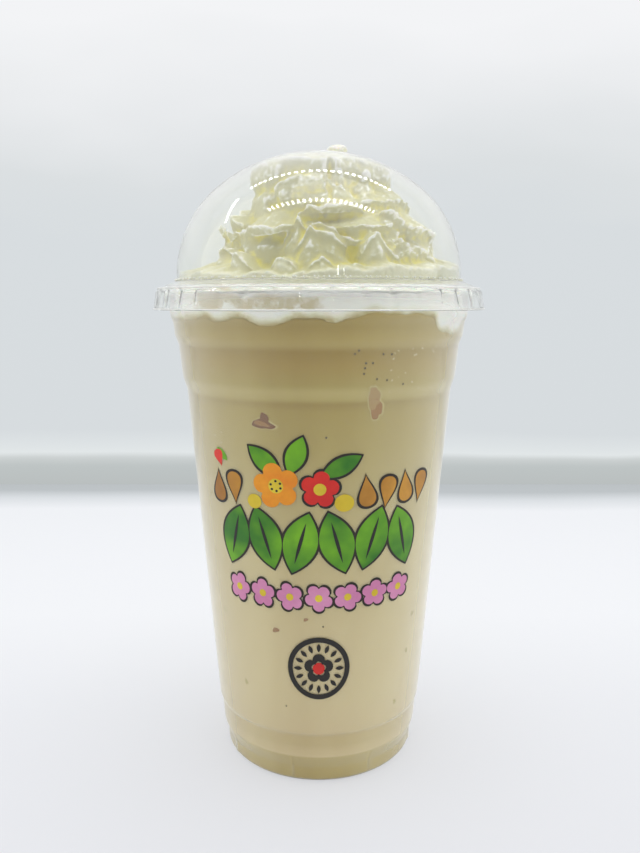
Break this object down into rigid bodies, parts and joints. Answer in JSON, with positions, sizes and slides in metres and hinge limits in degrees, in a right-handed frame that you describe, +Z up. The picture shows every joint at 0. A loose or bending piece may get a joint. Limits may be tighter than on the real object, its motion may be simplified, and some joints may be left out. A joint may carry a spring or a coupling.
{
  "type": "frappe",
  "caption": "Blended frappe in a clear tapered takeaway cup, with a clear domed lid pressed over a torn swirl of whipped cream that pokes out of the straw hole.",
  "frame": {"origin": "centre of the ring that the cup stands on", "axes": "+Z up along the cup's axis, -Y towards the front of the print and the cream's large fins"},
  "size_m": [0.1014, 0.1014, 0.1901],
  "materials": {
    "cup_plastic": "clear, glossy",
    "lid_plastic": "clear, glossy",
    "blended_drink": "opaque, moist",
    "whipped_cream": "soft, moist"
  },
  "bodies": {
    "root": {"cup": "cup_plastic", "lid": "lid_plastic", "drink": "blended_drink", "cream": "whipped_cream"}
  },
  "joints": []
}
